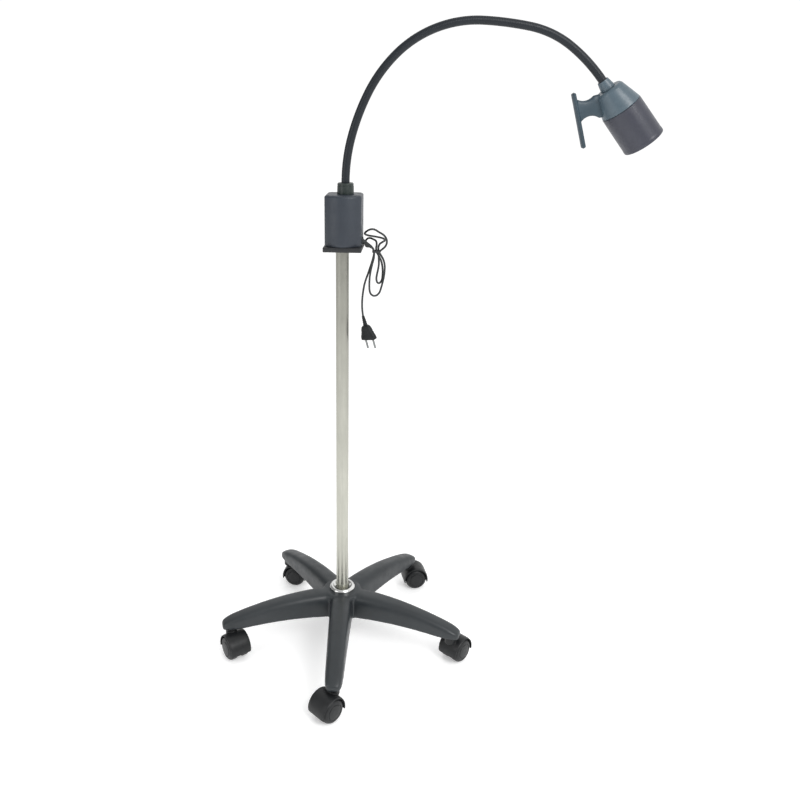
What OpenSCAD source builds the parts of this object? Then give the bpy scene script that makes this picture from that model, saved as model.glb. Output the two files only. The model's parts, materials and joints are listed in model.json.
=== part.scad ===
// Mobile examination lamp: a gooseneck lamp with five light-emitting diodes, on a column
// that stands on a five-armed base with twin-wheel castors.
// Millimetres. The origin is on the floor, on the column's axis. +Z is up and +X is the side
// that the gooseneck arches over to.

/* [Star base] */
// Radius of the circle that the castor stems stand on
stem_circle_r = 245; // [225:5:280]
// Height of the hub's top face above the floor
hub_top = 116; // [110:1:124]
// Radius of the hub
hub_r = 42; // [38:1:46]
// How far an arm has come down from the hub's top at its castor
arm_drop = 32; // [24:1:36]
// Half the width of an arm beside the hub
arm_half_root = 24; // [22:1:27]
// Half the width of an arm at its castor
arm_half_tip = 17.5; // [16:0.5:20]
// Direction of the first arm in degrees, seen from above, from +X
first_arm = -94; // [-110:1:-80]

/* [Castors] */
// Radius of a castor wheel
wheel_r = 25; // [22:1:26]
// Width of one wheel of a pair
wheel_w = 20; // [18:1:21]
// How far the wheels trail behind the stem
castor_trail = 18; // [14:1:20]
// Direction that each castor trails in, in degrees from +X, first arm first
castor_turns = [-137, 45, 8, -14, -56];

/* [Column] */
// Outer radius of the column tube
pole_r = 13; // [11:0.5:14]
// Wall of the column tube
pole_wall = 1.5; // [1.2:0.1:2]
// Height of the driver case's underside above the floor
case_z = 868; // [700:1:1000]

/* [Driver case] */
// Width of the case
case_w = 71; // [68:1:90]
// Height of the case's shell above its base plate
case_h = 98; // [90:1:120]
// Distance from the column's axis to the flat back
case_back = 32; // [30:1:40]
// Distance from the column's axis to the front corners
case_corner = 21; // [18:1:26]
// How far the bowed front stands in front of its corners
case_bow = 19; // [12:1:26]
// Wall of the moulded shell
case_wall = 2.5; // [2:0.1:4]
// Turn of the case on the column, in degrees
case_turn = -6; // [-30:1:30]
// How far the case's middle stands to the right of the column's axis
case_shift = 3; // [0:0.5:4]

/* [Gooseneck] */
// How far the gooseneck's foot stands to the right of the column's axis
neck_shift = 6; // [0:0.5:7]
// Outer radius of the gooseneck
neck_r = 8; // [7:0.5:9]
// Length of each length of gooseneck along its own arc
neck_step = 86; // [70:1:95]
// Bend of each length in degrees, from the case to the head
neck_bends = [15, 12, 19, 24, 23, 8, 26, 15];

/* [Head] */
// Radius of the rear cone at its back
cone_back_r = 26; // [22:1:30]
// Radius of the front barrel at its back
barrel_back_r = 38.5; // [34:0.5:42]
// Radius of the front barrel at its rim
barrel_front_r = 40; // [36:0.5:44]
// Length of the rear cone
cone_len = 44; // [36:1:50]
// Length of the front barrel
barrel_len = 79; // [70:1:95]
// Length of the bar of the T-shaped handle
handle_bar = 106; // [90:1:120]

/* [Mains lead] */
// Diameter of the lead
cord_d = 4; // [3:0.5:4]
// Radius of one of the plug's two pins
pin_r = 2; // [2:0.1:2.4]
// Distance between the plug's pins
pin_gap = 19; // [17:0.5:19]
// Length of the plug's pins
pin_len = 19; // [18:0.5:19]

/* [Hidden] */
arms = 5;

fine = 64;
slide_gap = 0.05;
clear = 0.3;
dark = [0.20, 0.23, 0.25];
black = [0.12, 0.13, 0.14];
steel = [0.72, 0.72, 0.69];

// ---- Star base ----

arm_pitch = 360 / arms;
arm_end_r = stem_circle_r + 19;
arm_flat_r = 50;
socket_z = 62;
stem_r = 5.5;
stem_len = 14;
stem_collar_gap = 0.5;

// Height of an arm's crest, and of its underside, at a distance from the column
function crest(r) = hub_top - arm_drop * pow(max(0, r - arm_flat_r) / (stem_circle_r - arm_flat_r), 2);
function belly(r) = socket_z + 6 * sin(180 * max(0, min(1, (r - 20) / (stem_circle_r - 40))));
function arm_half(r) = arm_half_root
    + (arm_half_tip - arm_half_root) * max(0, min(1, (r - 30) / (stem_circle_r - 30)));

// Rings of an arm: [distance, half width, crest, underside]
arm_rings = concat(
    [for (r = [14, 40, 65, 90, 115, 140, 165, 190, 215, stem_circle_r - 12])
        [r, arm_half(r), crest(r), belly(r)]],
    [for (a = [20, 40, 60, 78])
        let (r = stem_circle_r - 12 + 31 * sin(a), s = cos(a))
        [r, 4 + (arm_half_tip - 4) * sqrt(s), socket_z + 6 + (crest(r) - socket_z - 6) * sqrt(s), socket_z]]
);

// One ring's outline: flat underside, upright sides and a crowned top
function arm_outline(g) = let (r = g[0], w = g[1], top = g[2], low = g[3], c = min(w, (top - low) * 0.55))
    concat(
        [[r, -w + 3, low], [r, -w, low + 3]],
        [for (a = [0:22.5:180]) [r, -w * sign(cos(a)) * pow(abs(cos(a)), 0.55), top - c + c * pow(sin(a), 0.8)]],
        [[r, w, low + 3], [r, w - 3, low]]
    );

// A closed skin over a list of rings that all have the same number of points
module skin(rings) {
    n = len(rings[0]);
    m = len(rings);
    points = [for (g = rings) for (p = g) p];
    sides = [for (i = [0:m - 2]) for (j = [0:n - 1])
        let (a = i * n + j, b = i * n + (j + 1) % n)
        [[a, b, b + n], [a, b + n, a + n]]];
    faces = concat(
        [for (pair = sides) for (f = pair) f],
        [[for (j = [n - 1:-1:0]) j]],
        [[for (j = [0:n - 1]) (m - 1) * n + j]]
    );
    polyhedron(points = points, faces = faces, convexity = 8);
}

module around_base(i) {
    rotate([0, 0, first_arm + arm_pitch * (i - 1)]) children();
}

module arm() {
    skin([for (g = arm_rings) arm_outline(g)]);
}

// The open cells under an arm, between its ribs
module arm_cell(r1, r2) {
    wall = 5;
    intersection() {
        linear_extrude(hub_top)
            polygon([[r1, wall - arm_half(r1)], [r2, wall - arm_half(r2)],
                     [r2, arm_half(r2) - wall], [r1, arm_half(r1) - wall]]);
        rotate([90, 0, 0]) linear_extrude(4 * arm_half_root, center = true)
            polygon([[r1, 0], [r2, 0], [r2, crest(r2) - 11], [r1, crest(r1) - 11]]);
    }
}

module star_base() {
    color(dark) difference() {
        union() {
            for (i = [1:arms]) around_base(i) arm();
            translate([0, 0, socket_z]) cylinder(r = hub_r, h = hub_top - socket_z - 4, $fn = fine);
            translate([0, 0, hub_top - 4]) cylinder(r1 = hub_r, r2 = hub_r - 6, h = 4, $fn = fine);
        }
        for (i = [1:arms]) around_base(i) {
            for (c = [[56, 104], [109, 160], [165, 222]]) arm_cell(c[0], c[1]);
            translate([stem_circle_r, 0, socket_z - 5])
                cylinder(r = stem_r + slide_gap, h = stem_len + 5, $fn = fine);
        }
        translate([0, 0, socket_z + 6]) cylinder(r = pole_r + slide_gap, h = hub_top, $fn = fine);
        translate([0, 0, socket_z - 10]) cylinder(r = bolt_r + 0.5, h = 30, $fn = fine);
        translate([0, 0, socket_z - 1]) difference() {
            cylinder(r = hub_r - 6, h = 4, $fn = fine);
            translate([0, 0, -1]) cylinder(r = 16, h = 6, $fn = fine);
        }
    }
}

ring_r = 27;
ring_h = 9;
ring_hole_r = 17;

// Polished ring on the hub, dished towards the column
module hub_ring() {
    color(steel) translate([0, 0, hub_top]) rotate_extrude($fn = 96)
        polygon([[ring_hole_r - 1, 0], [ring_r, 0], [ring_r, ring_h - 4], [ring_r - 1.2, ring_h - 1.2],
                 [ring_r - 3.6, ring_h], [ring_r - 6, ring_h - 0.8], [ring_hole_r, 3], [ring_hole_r - 1, 1.5]]);
}

// ---- Column ----

pole_z = socket_z + 6;
pole_top = case_z + 40;
bolt_r = 4;
washer_h = 1.7;
plug_h = 26;

module pole() {
    color(steel) translate([0, 0, pole_z]) difference() {
        cylinder(r = pole_r, h = pole_top - pole_z, $fn = fine);
        translate([0, 0, -1]) cylinder(r = pole_r - pole_wall, h = pole_top - pole_z + 2, $fn = fine);
    }
}

// Threaded insert in the column's foot
module pole_plug() {
    color("gray") translate([0, 0, pole_z]) difference() {
        cylinder(r = pole_r - pole_wall - slide_gap, h = plug_h, $fn = fine);
        translate([0, 0, -1]) cylinder(r = bolt_r + slide_gap, h = plug_h + 2, $fn = fine);
    }
}

// The bolt that pulls the column down into the hub, and its washer
module pole_bolt() {
    color("silver") {
        translate([0, 0, socket_z - washer_h - 5.3]) cylinder(r = 7.5, h = 5.3, $fn = 6);
        translate([0, 0, socket_z - washer_h - 1]) cylinder(r = bolt_r, h = plug_h + 2, $fn = fine);
        translate([0, 0, socket_z - washer_h]) difference() {
            cylinder(r = 11, h = washer_h, $fn = fine);
            translate([0, 0, -1]) cylinder(r = bolt_r + 0.4, h = 4, $fn = fine);
        }
    }
}

// ---- Castors: local frame has the stem on Z and the wheels' axle at +X by the trail ----

web_half = 4;
wheel_gap = 0.8;
axle_r = 3;
hood_in = wheel_r + 1.2;
hood_out = wheel_r + 4;
hood_half = web_half + wheel_gap + wheel_w - 2;
wheel_room = wheel_w + 10;
boss_r = 12;
boss_top = socket_z - stem_collar_gap;

module at_castor(i) {
    around_base(i) translate([stem_circle_r, 0, 0])
        rotate([0, 0, castor_turns[i - 1] - first_arm - arm_pitch * (i - 1)]) children();
}

module at_axle() {
    translate([castor_trail, 0, wheel_r]) rotate([90, 0, 0]) children();
}

// Hood, centre web and stem boss in one moulding
module castor_housing(i) {
    color(black) at_castor(i) difference() {
        union() {
            intersection() {
                at_axle() cylinder(r = hood_out, h = 2 * hood_half, center = true, $fn = fine);
                translate([castor_trail - 40, -40, wheel_r - 2]) cube([80, 80, 60]);
            }
            at_axle() cylinder(r = wheel_r - 7, h = 2 * web_half, center = true, $fn = fine);
            translate([0, 0, boss_top - 16]) cylinder(r = boss_r, h = 16, $fn = fine);
        }
        at_axle() for (side = [-1, 1]) translate([0, 0, side * (web_half + wheel_room / 2)])
            cylinder(r = hood_in, h = wheel_room, center = true, $fn = fine);
        at_axle() cylinder(r = axle_r + slide_gap, h = 60, center = true, $fn = fine);
        translate([0, 0, boss_top - 9]) cylinder(r = stem_r, h = 20, $fn = fine);
    }
}

// Steel stem, and the steel axle that the two wheels run on
module castor_pins(i) {
    axle_half = web_half + wheel_gap + wheel_w - 5;
    color(steel) at_castor(i) {
        translate([0, 0, boss_top - 9]) cylinder(r = stem_r, h = 9 + stem_len - 1, $fn = fine);
        at_axle() cylinder(r = axle_r, h = 2 * axle_half, center = true, $fn = fine);
    }
}

// A wheel with a domed outer face; the wheel's own axis is Z, outwards
module wheel() {
    difference() {
        rotate_extrude($fn = 96) polygon([
            [0, 0], [wheel_r - 1.5, 0], [wheel_r, 1.5], [wheel_r, wheel_w - 7],
            [wheel_r - 1, wheel_w - 4.5], [wheel_r - 4, wheel_w - 2.2], [wheel_r - 9, wheel_w - 0.7],
            [wheel_r - 15, wheel_w], [0, wheel_w]]);
        translate([0, 0, -1]) cylinder(r = axle_r + slide_gap, h = wheel_w - 3, $fn = fine);
    }
}

module wheel_side(i, side) {
    color(black) at_castor(i) at_axle()
        rotate([side > 0 ? 0 : 180, 0, 0]) translate([0, 0, web_half + wheel_gap]) wheel();
}

// ---- Driver case: local frame is turned and shifted, and the bowed front faces -Y ----

plate_h = 9;
plate_over = 1.5;
shell_z = case_z + plate_h;
case_top = shell_z + case_h;
top_wall = 3;
bow_r = (pow(case_w / 2, 2) + pow(case_bow, 2)) / (2 * case_bow);
rim_h = 3;
screw_r = 1.7;
gland_y = -4;
gland_z = shell_z + 9;
gland_hole_r = 5;
switch_w = 13;
switch_h = 19.2;
switch_z = shell_z + 62;

module in_case() {
    rotate([0, 0, case_turn]) translate([case_shift, 0, 0]) children();
}

// Places a child on each of the four screws, at the underside of the base plate
module at_screws() {
    for (x = [-1, 1]) for (y = [case_back - 8, 4 - case_corner])
        translate([x * (case_w / 2 - 8), y, case_z]) children();
}

// Plan of the case, drawn in by an inset
module case_plan(inset) {
    w = case_w / 2 - inset;
    c = 5 - min(inset, 2);
    union() {
        translate([-w, -case_corner]) square([2 * w, case_corner + case_back - inset - c]);
        translate([-w + c, 0]) square([2 * (w - c), case_back - inset]);
        for (s = [-1, 1]) translate([s * (w - c), case_back - inset - c]) circle(r = c, $fn = fine);
        intersection() {
            translate([0, bow_r - case_corner - case_bow]) circle(r = bow_r - inset, $fn = 128);
            translate([-w, -case_corner - case_bow]) square([2 * w, case_bow + 1]);
        }
    }
}

module case_shell() {
    color(dark) difference() {
        in_case() difference() {
            union() {
                difference() {
                    translate([0, 0, shell_z]) linear_extrude(case_h) case_plan(0);
                    translate([0, 0, shell_z - 1]) linear_extrude(case_h + 1 - top_wall) case_plan(case_wall);
                }
                at_screws() translate([0, 0, plate_h + rim_h + 0.2]) cylinder(r = 5.7, h = 14, $fn = fine);
            }
            at_screws() cylinder(r = screw_r + slide_gap, h = plate_h + 16, $fn = fine);
            translate([case_w / 2 - 10, gland_y, gland_z]) rotate([0, 90, 0])
                cylinder(r = gland_hole_r + slide_gap, h = 20, $fn = fine);
            translate([-switch_w / 2 - slide_gap, case_back - 6, switch_z - switch_h / 2 - slide_gap])
                cube([switch_w + 2 * slide_gap, 12, switch_h + 2 * slide_gap]);
        }
        translate([neck_shift, 0, shell_z + 20]) cylinder(r = neck_r + slide_gap, h = case_h, $fn = fine);
    }
}

// Flat plate that closes the case from below, with a rim that locates the shell
module case_base_plate() {
    front = case_corner + case_bow + 1;
    w = case_w / 2 + plate_over;
    back = case_back + plate_over;
    color(black) difference() {
        in_case() difference() {
            union() {
                translate([-w + 2, -front, case_z]) cube([2 * w - 4, front + back, plate_h]);
                translate([-w, -front + 2, case_z]) cube([2 * w, front + back - 4, plate_h]);
                for (x = [2 - w, w - 2]) for (y = [2 - front, back - 2])
                    translate([x, y, case_z]) cylinder(r = 2, h = plate_h, $fn = fine);
                translate([0, 0, shell_z]) linear_extrude(rim_h) difference() {
                    case_plan(case_wall + 0.2);
                    case_plan(case_wall + 2.2);
                }
            }
            at_screws() translate([0, 0, -1]) cylinder(r = screw_r + slide_gap, h = plate_h + 2, $fn = fine);
            at_screws() translate([0, 0, -1]) cylinder(r = 3.4, h = 3.8, $fn = fine);
        }
        translate([0, 0, case_z - 1]) cylinder(r = pole_r + slide_gap, h = plate_h + 2, $fn = fine);
    }
}

module case_screws() {
    color("silver") in_case() at_screws() {
        translate([0, 0, 0.4]) cylinder(r = 3.3, h = 2.4, $fn = fine);
        translate([0, 0, 2]) cylinder(r = screw_r, h = plate_h + 8, $fn = fine);
    }
}

// Cast socket inside the case that the column's top is clamped in
module pole_socket() {
    color("gray") difference() {
        union() {
            translate([0, 0, shell_z]) cylinder(r = pole_r + 4, h = pole_top - shell_z + 3, $fn = fine);
            translate([0, 0, shell_z]) cylinder(r = pole_r + 8, h = 3, $fn = fine);
        }
        translate([0, 0, shell_z - 1]) cylinder(r = pole_r + slide_gap, h = pole_top - shell_z + 1, $fn = fine);
        translate([0, 0, shell_z]) cylinder(r = 4, h = 60, $fn = fine);
    }
}

// Potted power supply on top of the column's socket
module led_driver() {
    color("dimgray") in_case() translate([-26, -22, pole_top + 3]) difference() {
        cube([52, 40, 26]);
        for (x = [8:8:40]) translate([x, -1, 22]) cube([3, 42, 5]);
    }
}

module terminal_block() {
    color("ivory") in_case() translate([21, 2.5, shell_z]) difference() {
        cube([9, 15, 10]);
        for (y = [4, 11]) translate([4.5, y, 3]) cylinder(r = 2.2, h = 10, $fn = fine);
    }
}

// Snap-in frame of the rocker switch in the back of the case
module switch_frame() {
    color(black) in_case() translate([0, case_back, switch_z]) difference() {
        union() {
            translate([-switch_w / 2, -13, -switch_h / 2]) cube([switch_w, 14, switch_h]);
            translate([-switch_w / 2 - 1, 0.02, -switch_h / 2 - 1]) cube([switch_w + 2, 2, switch_h + 2]);
        }
        translate([-switch_w / 2 + 1.2, -9, -switch_h / 2 + 1.2]) cube([switch_w - 2.4, 20, switch_h - 2.4]);
        rotate([0, 90, 0]) cylinder(r = 1 + slide_gap, h = switch_w - 0.8, center = true, $fn = fine);
    }
}

rocker_rest = 8;

// Rocker on its pivot, pressed in at the top
module switch_rocker() {
    color("darkred") in_case() translate([0, case_back, switch_z]) rotate([-rocker_rest, 0, 0]) {
        rotate([90, 0, 90]) linear_extrude(switch_w - 3.2, center = true)
            polygon([[-4.2, -3], [-1.5, -7.2], [3.6, -7.2], [2.2, 0], [3.6, 7.2], [-1.5, 7.2], [-4.2, 3]]);
        rotate([0, 90, 0]) cylinder(r = 1, h = switch_w - 1.2, center = true, $fn = fine);
    }
}

boot_turn = 14;
boot_dip = 36;
boot_len = 24;

// Lead gland in the side of the case, with its tapered strain relief
module cord_gland() {
    color(black) in_case() translate([case_w / 2, gland_y, gland_z]) {
        rotate([0, 90, 0]) translate([0, 0, -6]) cylinder(r = gland_hole_r, h = 7, $fn = fine);
        rotate([0, 90, 0]) translate([0, 0, 0.02]) cylinder(r = gland_hole_r + 2.5, h = 2.5, $fn = fine);
        rotate([0, 90 + boot_dip, boot_turn - case_turn])
            cylinder(r1 = 4.6, r2 = 3, h = boot_len, $fn = fine);
    }
}

// ---- Gooseneck: jointed lengths in the XZ plane; headings are degrees above +X ----

collar_h = 21;
neck_root = [neck_shift, case_top + collar_h];
joint_half = 2.4;
ball_r = 7;
neck_bore_r = 5;
neck_seat = 6;
neck_tail = 28;
ferrule_r = neck_r + 0.5;

function sum_to(v, k) = k <= 0 ? 0 : v[k - 1] + sum_to(v, k - 1);
function neck_heading(k) = 90 - sum_to(neck_bends, k);
function neck_radius(k) = neck_step * 180 / (PI * neck_bends[k]);
function neck_chord(k) = 2 * neck_radius(k) * sin(neck_bends[k] / 2);
function neck_point(k) = k <= 0 ? neck_root : neck_point(k - 1)
    + neck_chord(k - 1) * [cos(neck_heading(k - 1) - neck_bends[k - 1] / 2),
                           sin(neck_heading(k - 1) - neck_bends[k - 1] / 2)];

// Every length bends against the next by up to 30 degrees either way.
// Places a child where length k starts, with +Z along the neck and +X to the inside of the arch
module at_neck(k) {
    translate([neck_point(k)[0], 0, neck_point(k)[1]])
        rotate([0, 90 - neck_heading(k), 0]) children();
}

// An arc of round section along length k, cut short by the given distances at its two ends;
// a distance below zero makes it longer
module neck_arc(k, section_r, root_cut, tip_cut) {
    r = neck_radius(k);
    a1 = root_cut * 180 / (PI * r);
    a2 = neck_bends[k] - tip_cut * 180 / (PI * r);
    at_neck(k) translate([r, 0, 0]) rotate([90, 0, 180]) rotate([0, 0, a1])
        rotate_extrude(angle = a2 - a1, $fn = 96) translate([r, 0]) circle(r = section_r, $fn = 48);
}

// One hollow length of neck. Each end is cut back so that the next length can bend, and a ball
// on its far end sits in the next length's socket
module neck_length(k, root_cut, tip_cut) {
    color(black) difference() {
        union() {
            neck_arc(k, neck_r, root_cut, tip_cut);
            if (tip_cut > 0) at_neck(k + 1) sphere(r = ball_r, $fn = 48);
            if (tip_cut < 0) at_neck(k + 1) translate([0, 0, 0.3])
                cylinder(r = ferrule_r, h = neck_seat - 0.3, $fn = fine);
            if (root_cut == 0) at_neck(k) translate([0, 0, -neck_tail])
                cylinder(r = neck_r, h = neck_tail, $fn = 48);
        }
        neck_arc(k, neck_bore_r, -neck_tail - 7, -neck_seat - 9);
        if (root_cut > 0) at_neck(k) sphere(r = ball_r + clear, $fn = 48);
    }
}

module neck_collar() {
    nut = 5;
    color(dark) translate([neck_shift, 0, case_top]) difference() {
        union() {
            cylinder(r1 = 16.2, r2 = 15.6, h = collar_h - nut, $fn = fine);
            translate([0, 0, collar_h - nut]) cylinder(r = 15.6, h = nut - 1.2, $fn = fine);
            translate([0, 0, collar_h - 1.2]) cylinder(r1 = 15.6, r2 = 13.8, h = 1.2, $fn = fine);
        }
        translate([0, 0, -1]) cylinder(r = neck_r + slide_gap, h = collar_h + 2, $fn = fine);
    }
}

// The first length runs down through the collar into the case; the last one ends in the head
module neck(k) {
    neck_length(k - 1, k == 1 ? 0 : joint_half, k == len(neck_bends) ? -1 : joint_half);
}

// ---- Head: local frame starts at the neck's end, with +Z along the beam ----

head_heading = neck_heading(len(neck_bends));
cone_z = 18;
barrel_z = cone_z + cone_len;
rim_z = barrel_z + barrel_len;
head_wall = 2.5;
glass_z = rim_z - 5;
board_z = rim_z - 34;
board_h = 1.8;
led_count = 5;
led_circle_r = 21;

module in_head() {
    at_neck(len(neck_bends)) children();
}

module head_collar() {
    color([0.35, 0.42, 0.43]) in_head() difference() {
        union() {
            cylinder(r1 = 10.5, r2 = 13.5, h = 14.5, $fn = fine);
            translate([0, 0, 14.5]) cylinder(r = 13.5, h = cone_z - 14.5, $fn = fine);
        }
        translate([0, 0, -1]) cylinder(r = neck_bore_r, h = cone_z + 2, $fn = fine);
        translate([0, 0, -1]) cylinder(r = ferrule_r + slide_gap, h = neck_seat + 1, $fn = fine);
    }
}

// Tapered rear housing
module rear_cone() {
    color([0.37, 0.43, 0.47]) in_head() difference() {
        translate([0, 0, cone_z]) rotate_extrude($fn = 96) polygon([
            [0, 0], [cone_back_r - 3, 0], [cone_back_r, 2.2],
            [barrel_back_r, cone_len], [0, cone_len]]);
        translate([0, 0, cone_z + head_wall]) rotate_extrude($fn = 96) polygon([
            [0, 0], [cone_back_r - 3.5, 0], [barrel_back_r - head_wall, cone_len - head_wall + 0.01],
            [barrel_back_r - head_wall, cone_len], [0, cone_len]]);
        cylinder(r = 6, h = cone_z + 20, $fn = fine);
        for (s = [-1, 1]) at_web() translate([s * 12, 0, -12]) cylinder(r = 1.8, h = 30, $fn = fine);
    }
}

// Slightly flared front housing
module front_barrel() {
    color([0.27, 0.29, 0.32]) in_head() translate([0, 0, barrel_z]) difference() {
        cylinder(r1 = barrel_back_r + 0.5, r2 = barrel_front_r, h = barrel_len, $fn = 96);
        translate([0, 0, -1]) cylinder(r = barrel_back_r - head_wall, h = barrel_len + 2, $fn = 96);
    }
}

// The handle's web leans back towards the neck; its bar reaches further to the front
handle_z = cone_z + 14.5;
handle_at_r = cone_back_r + (handle_z - cone_z) * (barrel_back_r - cone_back_r) / cone_len;
handle_lean = 23;
web_len = 38;
web_depth = 14;
web_waist = 15;
web_cut_r = 24;
bar_depth = 18;
bar_thick = 8.5;
bar_shift = -18;

// Places a child on the cone's skin at the handle, with +Z along the web, away from the head
module at_web() {
    translate([handle_at_r, 0, handle_z]) rotate([0, 90 + handle_lean, 0]) children();
}

// T-shaped handle: a waisted web with a thin bar across its end
module handle() {
    color([0.26, 0.31, 0.35]) in_head() {
        difference() {
            at_web() difference() {
                translate([-23, -web_depth / 2, -12]) cube([43, web_depth, web_len + 12]);
                for (s = [-1, 1]) translate([s * (web_waist + web_cut_r), 0, web_len * 0.55])
                    rotate([90, 0, 0]) cylinder(r = web_cut_r, h = 40, center = true, $fn = 96);
                for (s = [-1, 1]) translate([s * 12, 0, -12])
                    cylinder(r = 1.25 + slide_gap, h = 26, $fn = fine);
            }
            translate([0, 0, cone_z])
                cylinder(r1 = cone_back_r + 0.1, r2 = barrel_back_r + 0.1, h = cone_len, $fn = 96);
        }
        at_web() translate([bar_shift, 0, web_len + bar_thick / 2 - 1]) rotate([0, 90, 0])
            linear_extrude(handle_bar, center = true) bar_section();
    }
}

// Section of the handle's bar: a flat strip with round edges
module bar_section() {
    square([bar_thick, bar_depth - bar_thick], center = true);
    for (s = [-1, 1]) translate([0, s * (bar_depth - bar_thick) / 2]) circle(d = bar_thick, $fn = 32);
}

// Screws from inside the cone into the handle's web
module handle_screws() {
    color("silver") in_head() at_web() for (s = [-1, 1]) translate([s * 12, 0, 0]) {
        translate([0, 0, -7]) cylinder(r = 3, h = 2, $fn = fine);
        translate([0, 0, -5]) cylinder(r = 1.25, h = 16, $fn = fine);
    }
}

// Finned aluminium block behind the diodes
module heat_sink() {
    color("silver") in_head() translate([0, 0, board_z - board_h - 28]) difference() {
        cylinder(r = barrel_back_r - head_wall - 0.3, h = 28, $fn = 96);
        for (x = [-30:7.5:30]) translate([x - 2, -40, -1]) cube([4, 80, 21]);
    }
}

module led_board() {
    color("white") in_head() translate([0, 0, board_z - board_h]) difference() {
        cylinder(r = barrel_back_r - head_wall - 1, h = board_h, $fn = 96);
        for (i = [0:2]) rotate([0, 0, 120 * i + 30]) translate([10, 0, -1]) cylinder(r = 1.6, h = 4, $fn = fine);
    }
}

module each_led() {
    for (i = [0:led_count - 1]) rotate([0, 0, i * 360 / led_count + 90])
        translate([led_circle_r, 0, 0]) children();
}

module led_chips() {
    color("gold") in_head() translate([0, 0, board_z]) each_led() {
        translate([-3.5, -3.5, 0]) cube([7, 7, 1]);
        translate([0, 0, 1]) cylinder(r = 2.6, h = 1.2, $fn = fine);
    }
}

// Collimator lenses, one over each diode
module led_lenses() {
    color([0.85, 0.92, 0.97, 0.6]) in_head() translate([0, 0, board_z]) each_led() difference() {
        rotate_extrude($fn = fine) polygon([[0, 0], [5, 0], [10.4, 15], [10.4, 17], [0, 17]]);
        translate([0, 0, -1]) cylinder(r = 4, h = 5, $fn = fine);
        cube([7.4, 7.4, 2.4], center = true);
    }
}

module front_glass() {
    color([0.80, 0.88, 0.92, 0.5]) in_head() translate([0, 0, glass_z - 3.2])
        cylinder(r = barrel_back_r - head_wall - 0.3, h = 3.2, $fn = 96);
}

// Snap ring that holds the glass in the rim
module front_bezel() {
    color(black) in_head() translate([0, 0, glass_z]) difference() {
        cylinder(r = barrel_back_r - head_wall - 0.1, h = 4.2, $fn = 96);
        translate([0, 0, -1]) cylinder(r1 = barrel_back_r - 7.5, r2 = barrel_back_r - 5.2, h = 6.4, $fn = 96);
    }
}

// ---- Mains lead: out of its gland, into a tied hank beside the case, and down to its plug ----

tie_at = [66, 0, 863];
tie_w = 13;
tie_d = 9;

// The stretch from the strain relief to the tie, and the stretch from the hank to the plug
feed_route = [[55.5, -4, 873], [58.5, -3.5, 870.5], [60.5, -3, 867]];
lead_route = [[58, 1, 842], [54, 0, 830], [50, -1, 818], [46, -2, 807], [43, -3, 796], [41, -3, 784],
    [39.5, -3, 771], [39, -3, 758], [39.5, -3, 745], [41, -3, 733]];

function unit(v) = v / norm(v);
function route_way(p, i) = unit(p[min(i + 1, len(p) - 1)] - p[max(i - 1, 0)]);

// A round tube of eight sides swept along a route
module tube(p, d) {
    skin([for (i = [0:len(p) - 1])
        let (t = route_way(p, i), u = unit(cross([0, 1, 0], t)), v = cross(t, u))
        [for (a = [0:45:315]) p[i] + d / 2 * (cos(a) * u + sin(a) * v)]]);
}

module cord_lead() {
    color(black) {
        tube(feed_route, cord_d);
        tube(lead_route, cord_d);
    }
}

function arc(c, r, from, to, step) = [for (a = [from:step:to]) c + r * [cos(a), sin(a)]];

// One flat bundle of loops between two depths
module bundle(front, back, outline) {
    translate([0, back, 0]) rotate([90, 0, 0]) linear_extrude(back - front) polygon(outline);
}

// Outer shape of the hank: its waist in the tie, the loops below it, the bights to the right of it,
// and the upper and lower bights beside the case
module cord_hank() {
    half = tie_w / 2 - 0.2;
    low = tie_at[2] - 6;
    high = tie_at[2] + 6;
    color(black) union() {
        bundle(-tie_d / 2, tie_d / 2, [[tie_at[0] - half, low - 4], [tie_at[0] + half, low - 4],
            [tie_at[0] + half, high + 4], [tie_at[0] - half, high + 4]]);
        bundle(-12.5, 13, concat(arc([67, 790], 17, 180, 360, 15),
            [[86, 834], [84, 850], [78, low], [59, low]]));
        bundle(-14.5, 25.5, concat([[66, high]], arc([75, 887], 14, -75, 90, 15), [[66, 904], [60, 904], [62, high]]));
        bundle(-2, 25.5, concat(arc([54, 899], 11.5, 90, 180, 15), [[42.5, 888], [66, 884]],
            arc([60, 900], 10.5, 0, 90, 15)));
        bundle(1, 31.5, concat(arc([54, 879], 11, 180, 250, 14), [[62, 868], [66, 890], [43, 890]]));
    }
}

module cord_tie() {
    color("black") translate([tie_at[0], tie_at[1], tie_at[2] - 2.5]) difference() {
        translate([-tie_w / 2 - 1.6, -tie_d / 2 - 1.6, 0]) cube([tie_w + 3.2, tie_d + 3.2, 5]);
        translate([-tie_w / 2, -tie_d / 2 - 0.1, -1]) cube([tie_w, tie_d + 0.2, 7]);
    }
}

plug_tilt = 15;
plug_spin = 40;
plug_at = lead_route[len(lead_route) - 1];
relief_len = 20;
plug_len = 30;

// Places a child at the plug's strain relief, with +Z towards its pins
module at_plug() {
    translate(plug_at) rotate([0, 180 - plug_tilt, 0]) rotate([0, 0, plug_spin]) children();
}

// Flat moulded plug: strain relief, shoulders and face
module plug_body() {
    color(black) at_plug() {
        cylinder(r1 = 3, r2 = 4.6, h = relief_len, $fn = fine);
        translate([0, 0, relief_len - 0.5]) intersection() {
            rotate([90, 0, 0]) linear_extrude(14, center = true) polygon([
                [-5, 0], [5, 0], [9, 3], [16.5, plug_len - 7], [17.5, plug_len], [-17.5, plug_len],
                [-16.5, plug_len - 7], [-9, 3]]);
            cylinder(r = 17.6, h = plug_len, $fn = fine);
        }
    }
}

module plug_pins() {
    color(steel) at_plug() for (s = [-1, 1])
        translate([s * pin_gap / 2, 0, relief_len - 0.5 + plug_len]) cylinder(r = pin_r, h = pin_len, $fn = fine);
}

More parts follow.
